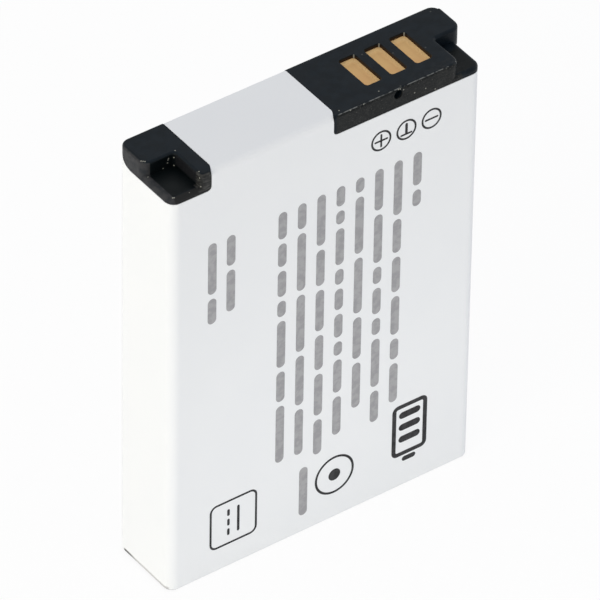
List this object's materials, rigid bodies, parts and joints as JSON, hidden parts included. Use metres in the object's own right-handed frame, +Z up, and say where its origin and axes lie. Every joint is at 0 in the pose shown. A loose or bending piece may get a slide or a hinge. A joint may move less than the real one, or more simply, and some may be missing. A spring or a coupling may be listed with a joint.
{
  "type": "camera battery",
  "caption": "Flat upright rechargeable camera battery with a black contact end, recessed gold contacts, notched corners, a key tab and a white wrap label.",
  "frame": {"origin": "middle of the bottom face of the body, without the key tab", "axes": "+X along the width towards the contact end, +Y from the printed front to the back, +Z up to the contacts"},
  "size_m": [0.0315, 0.0074, 0.043],
  "materials": {
    "case_black": "fine moulded texture",
    "label_white": "satin film",
    "label_ink": "printed ink",
    "contact_gold": "gold plated, satin",
    "cell_aluminium": "drawn",
    "gasket_plastic": "moulded",
    "strap_nickel": "nickel strip",
    "fibre_sheet": "fibre sheet",
    "holder_plastic": "moulded",
    "board_green": "solder mask",
    "chip_black": "moulded epoxy",
    "ceramic_tan": "fired ceramic",
    "fuse_plastic": "moulded",
    "tape_clear": "adhesive tape",
    "foam_grey": "closed-cell foam"
  },
  "bodies": {
    "root": {"case_body": "case_black", "rear_cover": "case_black", "wrap_label": "label_white", "contact_plus": "contact_gold", "contact_sense": "contact_gold", "contact_minus": "contact_gold", "battery_cell": "cell_aluminium", "terminal_gasket": "gasket_plastic", "terminal_rivet": "strap_nickel", "lid_insulator": "fibre_sheet", "board_holder": "holder_plastic", "protection_board": "board_green", "protection_chip": "chip_black", "switch_chip": "chip_black", "sense_resistor": "chip_black", "gate_resistor": "chip_black", "filter_capacitor": "ceramic_tan", "thermistor": "ceramic_tan", "plus_strap": "strap_nickel", "minus_strap": "strap_nickel", "fuse_tab": "strap_nickel", "thermal_fuse": "fuse_plastic", "front_tape": "tape_clear", "rear_tape": "tape_clear", "bottom_pad": "foam_grey"}
  },
  "joints": []
}
